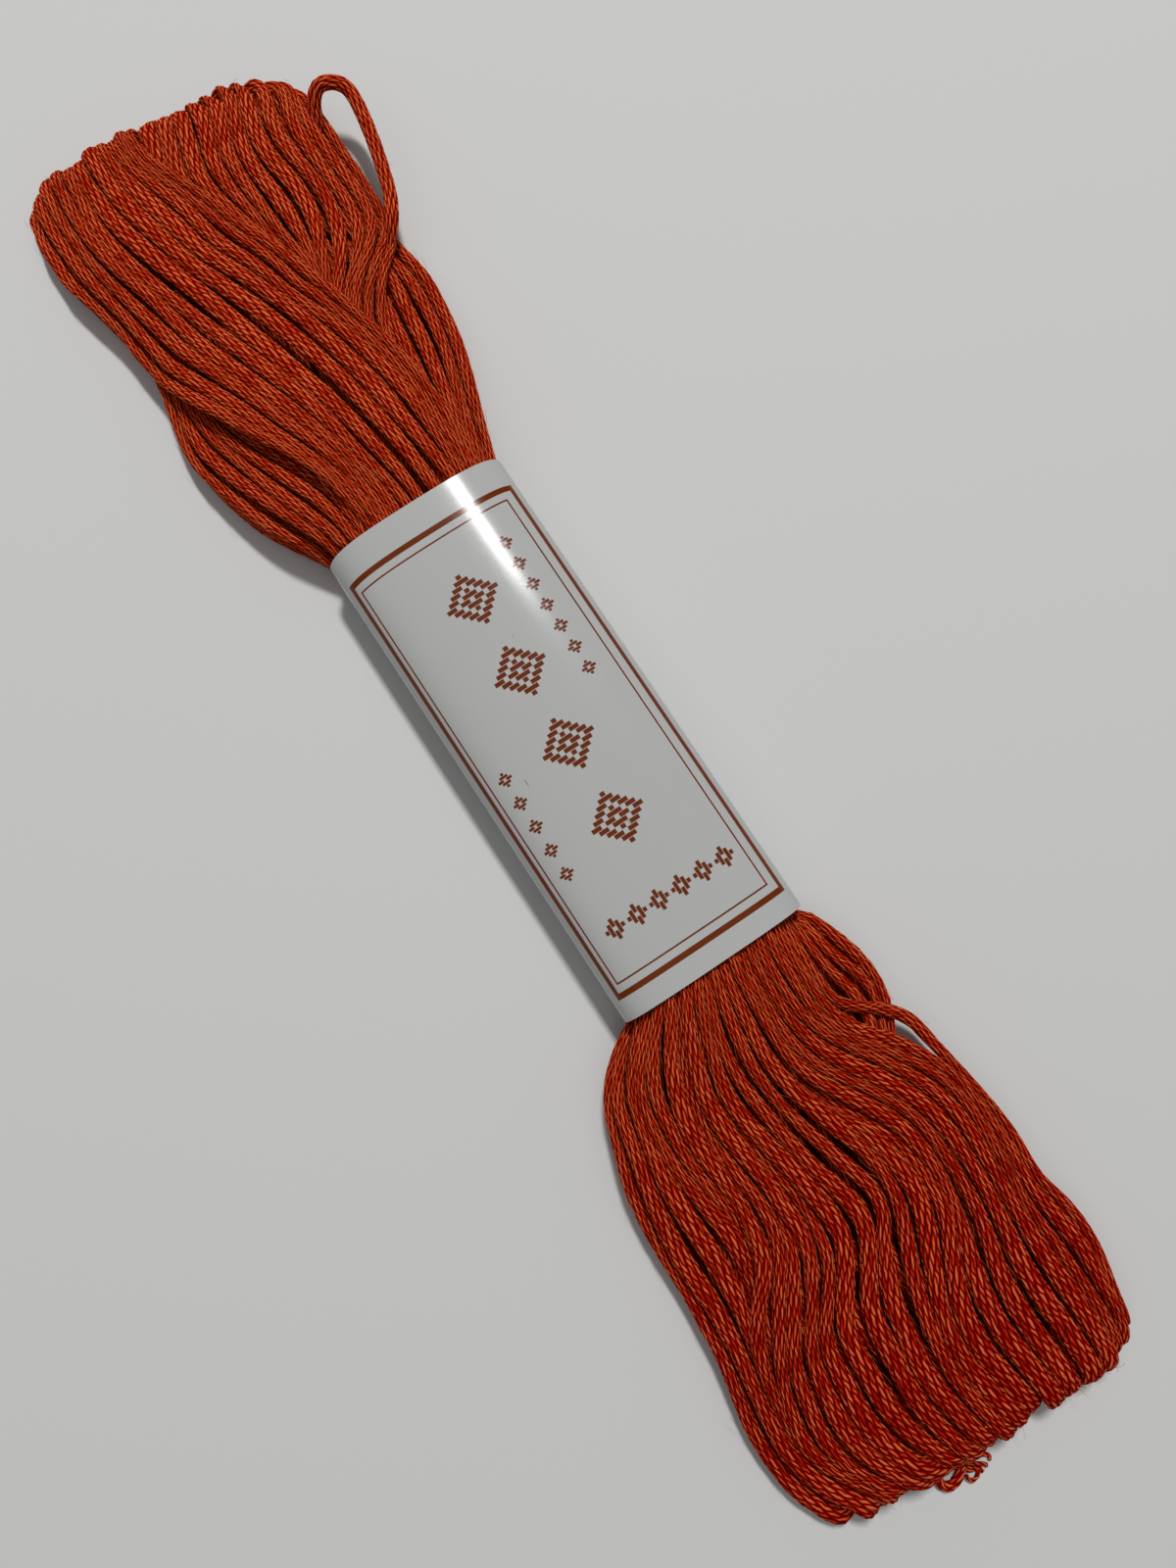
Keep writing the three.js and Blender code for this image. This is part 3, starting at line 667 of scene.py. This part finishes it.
def wind_turns(lie, starts, ends):
    """Each turn of the skein as one path: from the band over a tip, back below, and over the other tip."""
    y = lie[:, :, 0]
    sheet = list(range(SHEET))
    crossing = sheet[UNDER_LEFT:UNDER_LEFT + CROSSING]
    tucked = sheet[:UNDER_LEFT] + sheet[UNDER_LEFT + CROSSING:]
    right = list(range(SHEET, SHEET + RIGHT))
    core = list(range(SHEET + RIGHT, TURNS))
    lowest = list(range(TURNS, TURNS + LOWEST))
    lower = list(range(TURNS + LOWEST, 2 * TURNS))
    rising = core[:len(RISING)]
    over_top = sheet + rising
    first, second = PAIR_SLICES
    outer_a = mates(crossing + right, lowest, y, first)
    inner_a = mates(tucked + core, lower, y, first)
    outer_b = mates(over_top, lowest, y, second)
    inner_b = mates(right + core[len(RISING):], lower, y, second)
    over_a = {bottom: top for top, bottom in {**outer_a, **inner_a}.items()}
    over_b = {**outer_b, **inner_b}
    turns = []
    for top in sheet + right + core:
        bottom = over_b[top]
        following = over_a[bottom]
        strays = following == right[-1]
        out = run_points(lie, top, 0.0, ends[top])
        back = run_points(lie, bottom, ends[bottom], STRAY_LEAVES if strays else starts[bottom])
        home = run_points(lie, following, starts[following], 0.0)
        turn_b = loop_over(out, back[::-1])
        turn_a = round_path(STRAY_LOOP, STRAY_RADIUS) if strays else loop_over(back, home[::-1])
        path = np.concatenate([out, turn_b, back, turn_a, home])
        fine_out = VISIBLE_STEP if top in over_top else HIDDEN_STEP
        fine_home = VISIBLE_STEP if following < SHEET + RIGHT else HIDDEN_STEP
        fine_back = BELOW_STEP if bottom < TURNS + LOWEST else HIDDEN_STEP
        step = np.concatenate([
            np.full(len(out), fine_out),
            np.full(len(turn_b), min(fine_out, LOOP_STEP)),
            np.full(len(back), fine_back),
            np.full(len(turn_a), min(fine_home, LOOP_STEP)),
            np.full(len(home), fine_home),
        ])
        step = np.where(np.abs(path[:, 0] - BAND_MIDDLE) < BAND_HALF - BAND_HIDES, BAND_STEP, step)
        shows = top in over_top or following < SHEET + RIGHT
        turns.append((path, step, PLY_POINTS if shows else PLY_POINTS[:1]))
    return turns


def smooth_path(path, step, parts=6):
    """A smooth curve through a path's points, sampled closely where its step is small."""
    ends = np.vstack([2 * path[0] - path[1], path, 2 * path[-1] - path[-2]])
    t = np.arange(parts)[None, :, None] / parts
    a, b, c, d = ends[:-3, None], ends[1:-2, None], ends[2:-1, None], ends[3:, None]
    bend, twist = 2 * a - 5 * b + 4 * c - d, 3 * b - a - 3 * c + d
    curve = 0.5 * (2 * b + (c - a) * t + bend * t**2 + twist * t**3)
    dense = np.vstack([curve.reshape(-1, path.shape[1]), path[-1:]])
    steps = np.interp(np.arange(len(dense)) / parts, np.arange(len(step)), step)
    lengths = np.linalg.norm(np.diff(dense[:, :3], axis=0), axis=1)
    far = np.concatenate([[0], np.cumsum(lengths)])
    count = np.concatenate([[0], np.cumsum(lengths / steps[1:])])
    wanted = np.linspace(0, count[-1], max(4, int(count[-1]) + 1))
    points = np.stack([np.interp(wanted, count, column) for column in dense.T], axis=1)
    return points, np.interp(wanted, count, far)


def carried_frames(points):
    """Two directions across the path at each of its points: one that keeps level, and one square to it."""
    ways = unit(np.gradient(points, axis=0))
    side = np.array((0.0, 1.0, 0.0))
    sides = np.empty_like(points)
    for i, way in enumerate(ways):
        side = side - way * (side @ way)
        side[2] *= abs(way[2])
        side = side - way * (side @ way)
        side = side / math.sqrt(side @ side)
        sides[i] = side
    return sides, np.cross(ways, sides)


def twisted_thread(path, step, plies=PLIES, pitch=TWIST_PITCH, start=0.0, ply_points=PLY_POINTS):
    """One thread of twisted plies along a path: its points, faces, their UVs and the number of rings."""
    points, far = smooth_path(path, step)
    sides, ups = carried_frames(points[:, :3])
    around = (np.arange(plies)[:, None] + np.array(ply_points)).reshape(-1)
    swell = np.tile([1 - PLY_DEPTH] + [1.0] * (len(ply_points) - 1), plies)
    if len(ply_points) == 1:
        swell = np.ones(plies)
    turn = 2 * math.pi * (far[:, None] / pitch + around[None, :] / plies) + start
    over = (np.cos(turn) * points[:, 3:4])[..., None] * sides[:, None]
    over += (np.sin(turn) * points[:, 4:5])[..., None] * ups[:, None]
    skin = points[:, None, :3] + swell[None, :, None] * over
    skin[..., 2] = np.maximum(skin[..., 2], FLOOR_GAP)
    ring, sides_count = np.arange(len(around)), len(around)
    rows = np.arange(len(points) - 1)[:, None] * sides_count
    here, beside = rows + ring, rows + (ring + 1) % sides_count
    faces = np.stack([here, beside, beside + sides_count, here + sides_count], axis=-1)
    along = np.stack([far[:-1], far[:-1], far[1:], far[1:]], axis=-1)[:, None, :] + UV_SHIFT * start
    following = np.append(around[1:], plies)
    across = np.stack([around, following, following, around], axis=-1)[None]
    uv = np.stack(np.broadcast_arrays(along, across), axis=-1)
    return skin.reshape(-1, 3), faces.reshape(-1, 4), uv.reshape(-1, 4, 2), len(points)


def joined_threads(name, threads):
    """One mesh object from several threads, each closed at both ends."""
    points, faces, uvs, closing = [], [], [], []
    base = 0
    for skin, quads, uv, count in threads:
        sides = len(skin) // count
        points.append(skin)
        faces.append(quads + base)
        uvs.append(uv)
        closing.append(base + np.arange(sides)[::-1])
        closing.append(base + (count - 1) * sides + np.arange(sides))
        base += len(skin)
    quads = np.concatenate(faces)
    corners = np.concatenate([quads.reshape(-1), *closing]).astype(np.int32)
    sizes = np.concatenate([np.full(len(quads), 4), [len(c) for c in closing]]).astype(np.int32)
    mesh = bpy.data.meshes.new(name)
    mesh.vertices.add(base)
    mesh.vertices.foreach_set("co", (np.concatenate(points) * MM).astype(np.float32).reshape(-1))
    mesh.loops.add(len(corners))
    mesh.loops.foreach_set("vertex_index", corners)
    mesh.polygons.add(len(sizes))
    mesh.polygons.foreach_set("loop_start", np.concatenate([[0], np.cumsum(sizes)[:-1]]).astype(np.int32))
    mesh.polygons.foreach_set("loop_total", sizes)
    mesh.polygons.foreach_set("use_smooth", np.ones(len(sizes), bool))
    layer = mesh.uv_layers.new(name="plies")
    flat = np.zeros((len(corners), 2), np.float32)
    flat[: quads.size] = np.concatenate(uvs).reshape(-1, 2)
    layer.data.foreach_set("uv", flat.reshape(-1))
    mesh.update(calc_edges=True)
    mesh.validate()
    piece = bpy.data.objects.new(name, mesh)
    bpy.context.scene.collection.objects.link(piece)
    return piece


class Nodes:
    """Short words for building a material's node tree."""

    def __init__(self, material):
        material.use_nodes = True
        self.tree = material.node_tree
        self.tree.nodes.clear()

    def add(self, kind, **settings):
        node = self.tree.nodes.new(kind)
        for key, value in settings.items():
            setattr(node, key, value)
        return node

    def set(self, socket, value):
        if isinstance(value, bpy.types.NodeSocket):
            self.tree.links.new(value, socket)
        else:
            socket.default_value = value

    def math(self, operation, *values, clamp=False):
        node = self.add("ShaderNodeMath", operation=operation, use_clamp=clamp)
        for socket, value in zip(node.inputs, values):
            self.set(socket, value)
        return node.outputs[0]

    def parts(self, vector):
        """The X, Y and Z of a vector."""
        node = self.add("ShaderNodeSeparateXYZ")
        self.set(node.inputs[0], vector)
        return node.outputs

    def own_uv(self, name):
        """The two numbers of the piece's own UV map."""
        return self.parts(self.add("ShaderNodeUVMap", uv_map=name).outputs[0])[:2]

    def place(self):
        """The place on the piece, in metres."""
        return self.add("ShaderNodeTexCoord").outputs["Object"]

    def pair(self, first, second):
        node = self.add("ShaderNodeCombineXYZ")
        self.set(node.inputs[0], first)
        self.set(node.inputs[1], second)
        return node.outputs[0]

    def noise(self, place, scale, detail=2.0, plane=False):
        node = self.add("ShaderNodeTexNoise", noise_dimensions="2D" if plane else "3D")
        self.set(node.inputs["Vector"], place)
        self.set(node.inputs["Scale"], scale)
        self.set(node.inputs["Detail"], detail)
        return node.outputs[0]

    def mix(self, share, first, second):
        node = self.add("ShaderNodeMix", data_type="RGBA")
        self.set(node.inputs[0], share)
        self.set(node.inputs[6], first)
        self.set(node.inputs[7], second)
        return node.outputs[2]

    def bump(self, strength, distance, height):
        node = self.add("ShaderNodeBump")
        self.set(node.inputs["Strength"], strength)
        self.set(node.inputs["Distance"], distance)
        self.set(node.inputs["Height"], height)
        return node.outputs[0]

    def shader(self, **sockets):
        node = self.add("ShaderNodeBsdfPrincipled")
        for name, value in sockets.items():
            self.set(node.inputs[name.replace("_", " ").title().replace("Ior", "IOR")], value)
        out = self.add("ShaderNodeOutputMaterial")
        self.tree.links.new(node.outputs[0], out.inputs["Surface"])


def cotton_thread():
    """Soft twisted cotton: each ply a fine rope, with painted highlight pale on its crests, its own orange
    beside them and painted shade deep red between.
    """
    material = bpy.data.materials.new("burnt_orange_cotton")
    n = Nodes(material)
    along, around = n.own_uv("plies")
    ply = n.math("FLOOR", around)
    across = n.math("SUBTRACT", n.math("SUBTRACT", around, ply), 0.5)

    # stripes that slant across each ply, each with its own strength
    slow = n.pair(n.math("MULTIPLY", along, 0.5), n.math("MULTIPLY", ply, 3.7))
    drift = n.noise(slow, scale=1.0, plane=True)
    leaning = n.math("MULTIPLY_ADD", across, STRIPE_LEAN, n.math("MULTIPLY", drift, STRIPE_DRIFT))
    stripe = n.math("MULTIPLY_ADD", along, 1 / STRIPE_LENGTH, leaning)
    number = n.math("FLOOR", stripe)
    from_middle = n.math("ABSOLUTE", n.math("SUBTRACT", n.math("SUBTRACT", stripe, number), 0.5))
    crest = n.math("SUBTRACT", 1.0, n.math("POWER", n.math("MULTIPLY", from_middle, 2.0), 2.0))
    from_ridge = n.math("ABSOLUTE", n.math("MULTIPLY", across, 2.0))
    ridge = n.math("SUBTRACT", 1.0, n.math("POWER", from_ridge, 3.0))
    own = n.add("ShaderNodeTexWhiteNoise", noise_dimensions="2D")
    n.set(own.inputs["Vector"], n.pair(number, ply))
    strength = n.math("MULTIPLY_ADD", own.outputs["Value"], *STRIPE_STRENGTH)
    height = n.math("MULTIPLY", n.math("MULTIPLY", crest, ridge), strength)

    # streaks along the thread, and painted shade that darkens the second fan towards its tips
    streak = n.noise(n.pair(along, n.math("MULTIPLY", around, 3.1)), scale=1.0, detail=1.0, plane=True)
    tone = n.math("MULTIPLY_ADD", n.math("SUBTRACT", streak, 0.5), STREAKS, height)
    place = n.place()
    first, last = SHADE_DEEPENS
    fan_shade = n.math("DIVIDE", n.math("SUBTRACT", n.parts(place)[0], first), last - first, clamp=True)
    tone = n.math("MULTIPLY_ADD", fan_shade, -SHADE_TONE_DROP, tone)

    patch = n.noise(place, scale=420.0)
    # the thread's own orange, turned a darker red on the second fan as painted shade
    plain = n.mix(fan_shade, n.mix(patch, *FLANK_ORANGE), SHADED_FLANK_RED)
    # painted shade deep red in the grooves, and painted highlight pale on the stripes' crests
    flank = n.mix(n.math("MULTIPLY_ADD", tone, *FLANK_SHARE, clamp=True), n.mix(patch, *PAINTED_SHADE_RED), plain)
    colour = n.mix(n.math("MULTIPLY_ADD", tone, *HIGHLIGHT_SHARE, clamp=True), flank, n.mix(patch, *PAINTED_HIGHLIGHT_ORANGE))
    n.shader(base_color=colour, roughness=0.85, specular_ior_level=0.02, normal=n.bump(0.9, 0.00012, tone),
             subsurface_weight=0.4, subsurface_radius=(1.0, 0.5, 0.4), subsurface_scale=0.0006)
    return material


def framed_lines(n, along, across, low, high, width):
    """A mask of the printed line round a rectangle on the flat paper."""
    middle = [(a + b) / 2 for a, b in zip(low, high)]
    half = [(b - a) / 2 for a, b in zip(low, high)]
    out_along = n.math("SUBTRACT", n.math("ABSOLUTE", n.math("SUBTRACT", along, middle[0])), half[0])
    out_across = n.math("SUBTRACT", n.math("ABSOLUTE", n.math("SUBTRACT", across, middle[1])), half[1])
    far = n.math("MAXIMUM", out_along, out_across)
    return n.math("LESS_THAN", n.math("ABSOLUTE", far), width / 2)


def stitched_lozenges(n, along, across, first, apart, count, stitch, rings):
    """A mask of a row of counted-thread lozenges: bars of stitches in nested diamonds."""
    place = n.math("DIVIDE", n.math("SUBTRACT", along, first), apart)
    number = n.math("MINIMUM", n.math("MAXIMUM", n.math("ROUND", place), 0.0), count - 1.0)
    own = n.math("MULTIPLY", n.math("SUBTRACT", place, number), apart / stitch)
    column = n.math("ABSOLUTE", n.math("ROUND", own))
    line = n.math("DIVIDE", across, stitch)
    row = n.math("ABSOLUTE", n.math("ROUND", line))
    ring = n.math("ADD", column, row)
    inside = n.math("LESS_THAN", ring, rings + 0.5)
    shown = n.math("GREATER_THAN", n.math("MODULO", n.math("ADD", ring, 0.5), 3.0), 1.0)
    aside = n.math("ABSOLUTE", n.math("SUBTRACT", own, n.math("ROUND", own)))
    thread = n.math("LESS_THAN", aside, STITCH_HALF)
    return n.math("MULTIPLY", n.math("MULTIPLY", inside, shown), thread)


def coated_paper():
    """White coated paper with a soft gloss, printed in brown with a double frame and stitched lozenges."""
    material = bpy.data.materials.new("white_coated_paper")
    n = Nodes(material)
    along, across = n.own_uv("flat_paper")
    thick = framed_lines(n, along, across, *OUTER_FRAME, FRAME_LINES[0])
    thin = framed_lines(n, along, across, *INNER_FRAME, FRAME_LINES[1])
    print_mask = n.math("MAXIMUM", thick, thin)
    for aside, *lozenges in LOZENGE_COLUMNS:
        column = stitched_lozenges(n, along, n.math("SUBTRACT", across, aside), *lozenges)
        print_mask = n.math("MAXIMUM", print_mask, column)
    aside, *lozenges = LOZENGE_ROW
    row = stitched_lozenges(n, across, n.math("SUBTRACT", along, aside), *lozenges)
    print_mask = n.math("MAXIMUM", print_mask, row)
    place = n.place()
    grain = n.noise(place, scale=2600.0, detail=3.0)
    tint = n.noise(place, scale=60.0)
    colour = n.mix(print_mask, n.mix(tint, *PAPER_WHITE), n.mix(grain, *INK_BROWN))
    roughness = n.math("MULTIPLY_ADD", grain, 0.06, 0.12)
    n.shader(base_color=colour, roughness=roughness, specular_ior_level=0.17,
             normal=n.bump(0.06, 0.00002, grain))
    return material


def cotton_fibre():
    """The plain orange of a single fibre, which is too fine for stripes."""
    material = bpy.data.materials.new("single_cotton_fibre")
    Nodes(material).shader(base_color=FIBRE_ORANGE, roughness=0.9, specular_ior_level=0.1)
    return material


def loose_fibres(threads):
    """The nap of the cotton: fine single fibres that stand off the upper side of the threads."""
    fibres = []
    for skin, _, _, count in threads:
        rings = skin.reshape(count, -1, 3)
        middle = rings.mean(axis=1)
        number = count * FIBRES_IN_100 // 100
        at = rng.integers(2, count - 2, number)
        root = rings[at, rng.integers(0, rings.shape[1], number)]
        out = unit(root - middle[at])
        way = unit(middle[at + 1] - middle[at - 1]) * rng.choice((-1, 1), (number, 1))
        lean = out * rng.uniform(*FIBRE_LIFT, (number, 1))
        lean += np.cross(out, way) * rng.normal(0, FIBRE_SWING, (number, 1))
        length = rng.uniform(*FIBRE_LENGTH, number)
        t = np.linspace(0, 1, FIBRE_POINTS)[:, None]
        steps = np.full(FIBRE_POINTS, FIBRE_STEP)
        for i in np.flatnonzero(out[:, 2] > 0):
            places = root[i] + length[i] * (way[i] * t + lean[i] * t * (1 - 0.5 * t))
            places[:, 2] = np.maximum(places[:, 2], FIBRE_RADIUS)
            path = round_path(places, FIBRE_RADIUS)
            fibres.append(twisted_thread(path, steps, FIBRE_SIDES, FIBRE_PITCH, ply_points=PLY_POINTS[:1]))
    return fibres


def wound_thread():
    """The skein's turns, settled and wound, in five pieces, and the nap on those that show."""
    y, z, firm, showing = lay_sets()
    starts, ends = run_ends(y)
    turns = wind_turns(settle(y, z, firm, showing, starts, ends), starts, ends)
    cotton = cotton_thread()
    fibres = []
    first, second = SHEET_PARTS
    groups = {
        "sheet_left": turns[:first],
        "sheet_middle": turns[first:second],
        "sheet_right": turns[second:SHEET],
        "right_turns": turns[SHEET:SHEET + RIGHT],
        "core_turns": turns[SHEET + RIGHT:],
    }
    for name, members in groups.items():
        threads = [twisted_thread(path, step, start=rng.uniform(0, TWIST_STARTS), ply_points=ply_points)
                   for path, step, ply_points in members]
        piece = joined_threads(name, threads)
        piece.data.materials.append(cotton)
        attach(piece, "root")
        if name == "sheet_middle":
            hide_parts("hank")
        if name != "core_turns":
            fibres += loose_fibres(threads)
    nap = joined_threads("loose_fibres", fibres)
    nap.data.materials.append(cotton_fibre())
    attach(nap, "root")


def loose_end():
    """The frayed end of the thread: a bent stub of a few plies and the fine plies that part from it."""
    stub = round_path([(x, y, END_RADIUS) for x, y in END_ROUTE], END_RADIUS)
    threads = [twisted_thread(stub, np.full(len(stub), END_STEP), plies=END_PLIES, pitch=END_PITCH)]
    for route in FRAYS:
        path = round_path(route, FRAY_RADIUS)
        path[:, 2] = np.maximum(path[:, 2], FRAY_RADIUS)
        steps = np.full(len(path), FRAY_STEP)
        threads.append(twisted_thread(path, steps, plies=FRAY_PLIES, pitch=FRAY_PITCH))
    piece = joined_threads("frayed_end", threads)
    piece.data.materials.append(bpy.data.materials["burnt_orange_cotton"])
    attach(piece, "root")
    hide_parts("loose_end")


def paper_band():
    """The paper wrapped once round the waist and lapped below, with its flat place kept as its UV map."""
    section = band_section(0.0, SECTION_POINTS)
    closed = np.vstack([section, section[:1]])
    far = np.concatenate([[0], np.cumsum(np.linalg.norm(np.diff(closed, axis=0), axis=1))])
    girth = far[-1]
    crest = far[SECTION_POINTS * 3]
    length = girth + PAPER_LAP
    bpy.ops.object.select_all(action="DESELECT")
    bpy.ops.mesh.primitive_grid_add(x_subdivisions=26, y_subdivisions=120, size=1)
    piece = bpy.context.object
    piece.name = "paper_band"
    for vertex, co in zip(piece.data.vertices, [v.co.copy() for v in piece.data.vertices]):
        x, a = BAND_MIDDLE + co.x * 2 * BAND_HALF, co.y * length
        at = (crest - a) % girth
        y, z = np.interp(at, far, closed[:, 0]), np.interp(at, far, closed[:, 1])
        lift = LAP_LIFT * np.clip((a - girth / 2 + PAPER_LAP / 2 + LAP_RAMP) / LAP_RAMP, 0, 1)
        vertex.co = Vector((x, y, z + lift)) * MM
    uv = piece.data.uv_layers[0]
    uv.name = "flat_paper"
    for corner in uv.data:
        corner.uv = (BAND_MIDDLE + (corner.uv[0] - 0.5) * 2 * BAND_HALF, (corner.uv[1] - 0.5) * length)
    bpy.ops.object.mode_set(mode="EDIT")
    bpy.ops.mesh.select_all(action="SELECT")
    bpy.ops.mesh.normals_make_consistent(inside=False)
    bpy.ops.object.mode_set(mode="OBJECT")
    bpy.ops.object.shade_smooth()
    thick = piece.modifiers.new("thickness", "SOLIDIFY")
    thick.thickness = PAPER * MM
    thick.offset = -1
    bpy.ops.object.modifier_apply(modifier="thickness")
    bpy.ops.object.mode_set(mode="EDIT")
    bpy.ops.mesh.select_all(action="DESELECT")
    bpy.ops.mesh.edges_select_sharp(sharpness=math.radians(50))
    bpy.ops.mesh.mark_sharp()
    bpy.ops.object.mode_set(mode="OBJECT")
    piece.data.materials.clear()
    piece.data.materials.append(coated_paper())
    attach(piece, "root")
    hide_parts("band")


def floor_and_lights():
    """A plain pale floor, a soft key light, a wide fill light and a little light all round."""
    bpy.ops.object.select_all(action="DESELECT")
    bpy.ops.mesh.primitive_plane_add(size=3.0, location=(0, 0, 0))
    floor = bpy.context.object
    floor.name = "floor"
    material = bpy.data.materials.new("pale_floor")
    Nodes(material).shader(base_color=FLOOR_TONE, roughness=0.9)
    floor.data.materials.append(material)
    world = bpy.data.worlds.new("studio")
    bpy.context.scene.world = world
    world.use_nodes = True
    back = world.node_tree.nodes["Background"]
    back.inputs["Color"].default_value = ROUND_LIGHT
    back.inputs["Strength"].default_value = ROUND_STRENGTH
    for name, (place, size, power, colour) in LAMPS.items():
        data = bpy.data.lights.new(name, "AREA")
        data.shape = "RECTANGLE"
        data.size, data.size_y = size
        data.energy = power
        data.color = colour
        lamp = bpy.data.objects.new(name, data)
        bpy.context.scene.collection.objects.link(lamp)
        back_way = Vector(place).normalized()
        long_way = (Vector((1, 0, 0)) - back_way.x * back_way).normalized()
        turned = Matrix((long_way, back_way.cross(long_way), back_way)).transposed().to_4x4()
        lamp.matrix_world = Matrix.Translation(place) @ turned


def camera_at_the_photo():
    """The camera from above, tilted a little, with the skein slanting across the picture."""
    turn, tilt = math.radians(CAMERA_TURN), math.radians(CAMERA_TILT)
    right = Vector((math.cos(turn), math.sin(turn), 0))
    ahead = Vector((math.sin(turn), -math.cos(turn), 0))
    view = Vector((0, 0, -math.cos(tilt))) - math.sin(tilt) * ahead
    up = -(math.cos(tilt) * ahead - Vector((0, 0, math.sin(tilt))))
    data = bpy.data.cameras.new("camera")
    data.lens = LENS
    data.sensor_width = SENSOR
    data.clip_start = 0.005
    camera = bpy.data.objects.new("camera", data)
    bpy.context.scene.collection.objects.link(camera)
    turned = Matrix((right, up, -view)).transposed().to_4x4()
    camera.matrix_world = Matrix.Translation(Vector(CAMERA_PLACE) * MM) @ turned
    bpy.context.scene.camera = camera


camera_at_the_photo()
wound_thread()
loose_end()
paper_band()
floor_and_lights()
bpy.context.scene.view_settings.view_transform = "Standard"

bpy.context.view_layer.update()
